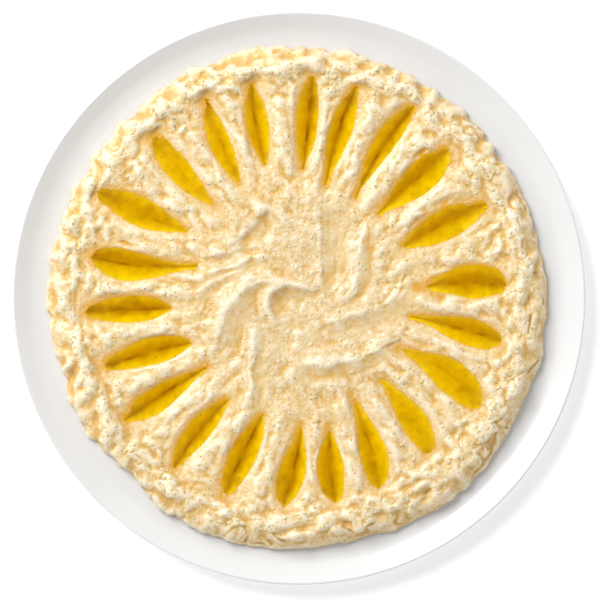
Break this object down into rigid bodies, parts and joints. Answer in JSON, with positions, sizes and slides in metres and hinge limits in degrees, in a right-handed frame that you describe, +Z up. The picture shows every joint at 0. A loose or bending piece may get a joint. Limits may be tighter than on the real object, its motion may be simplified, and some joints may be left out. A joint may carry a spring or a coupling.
{
  "type": "dish of baba ganoush",
  "caption": "Round white coupe plate with a spread of pale aubergine dip, spoon-swirled in the middle and ringed by radial grooves holding pools of olive oil.",
  "frame": {"origin": "on the table, under the centre of the plate", "axes": "+Z up; +Y towards the top edge of the picture, +X towards its right edge"},
  "size_m": [0.28, 0.28, 0.0174],
  "materials": {
    "plate": "smooth white glaze",
    "dip": "soft, grainy, slightly moist paste",
    "oil": "clear golden oil, glossy"
  },
  "bodies": {
    "root": {"plate": "plate", "dip": "dip", "oil_01": "oil", "oil_02": "oil", "oil_03": "oil", "oil_04": "oil", "oil_05": "oil", "oil_06": "oil", "oil_07": "oil", "oil_08": "oil", "oil_09": "oil", "oil_10": "oil", "oil_11": "oil", "oil_12": "oil", "oil_13": "oil", "oil_14": "oil", "oil_15": "oil", "oil_16": "oil", "oil_17": "oil", "oil_18": "oil", "oil_19": "oil", "oil_20": "oil", "oil_21": "oil", "oil_22": "oil"}
  },
  "joints": []
}
